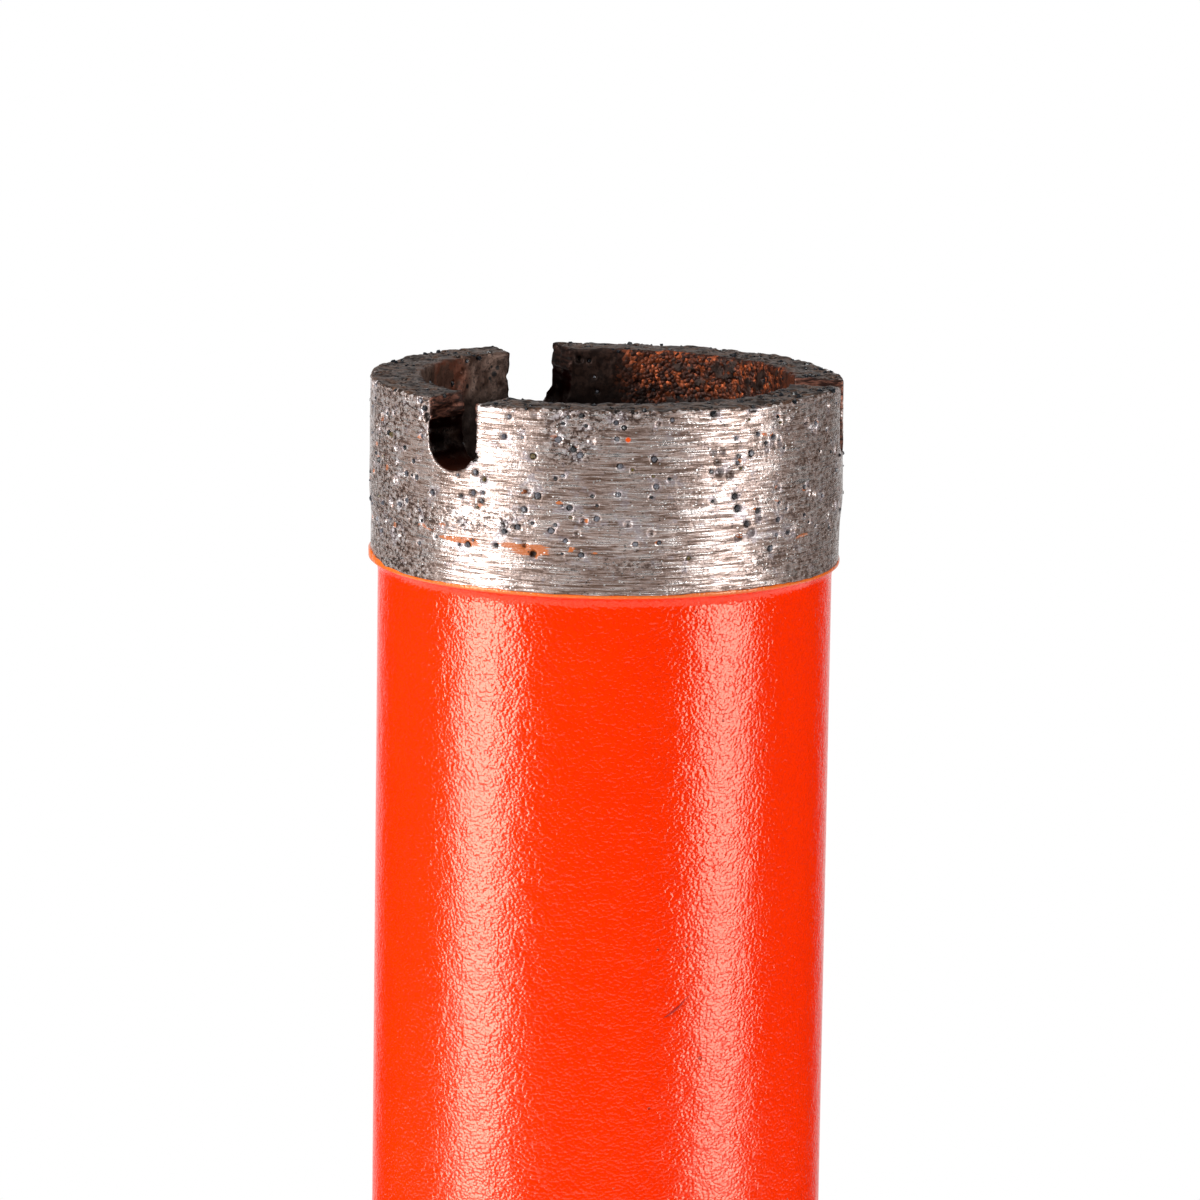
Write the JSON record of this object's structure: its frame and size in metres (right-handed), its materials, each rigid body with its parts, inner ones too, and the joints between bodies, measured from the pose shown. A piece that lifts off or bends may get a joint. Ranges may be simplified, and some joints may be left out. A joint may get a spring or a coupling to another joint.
{
  "type": "diamond core bit",
  "caption": "Wet diamond core bit: a sintered ring crown with U-shaped waterways on a painted steel barrel, with a spanner hexagon and a female pipe-threaded hub at the back.",
  "frame": {"origin": "centre of the hub's seat face, the end that screws up to the drill's spindle", "axes": "+Z along the bit's axis, from the hub to the cutting face; +X through one waterway"},
  "size_m": [0.028, 0.031, 0.172],
  "materials": {
    "sintered_metal": "satin",
    "orange_coat": "satin",
    "bare_steel": "satin"
  },
  "bodies": {
    "root": {"crown": "sintered_metal", "barrel": "orange_coat", "hub": "orange_coat"}
  },
  "joints": []
}
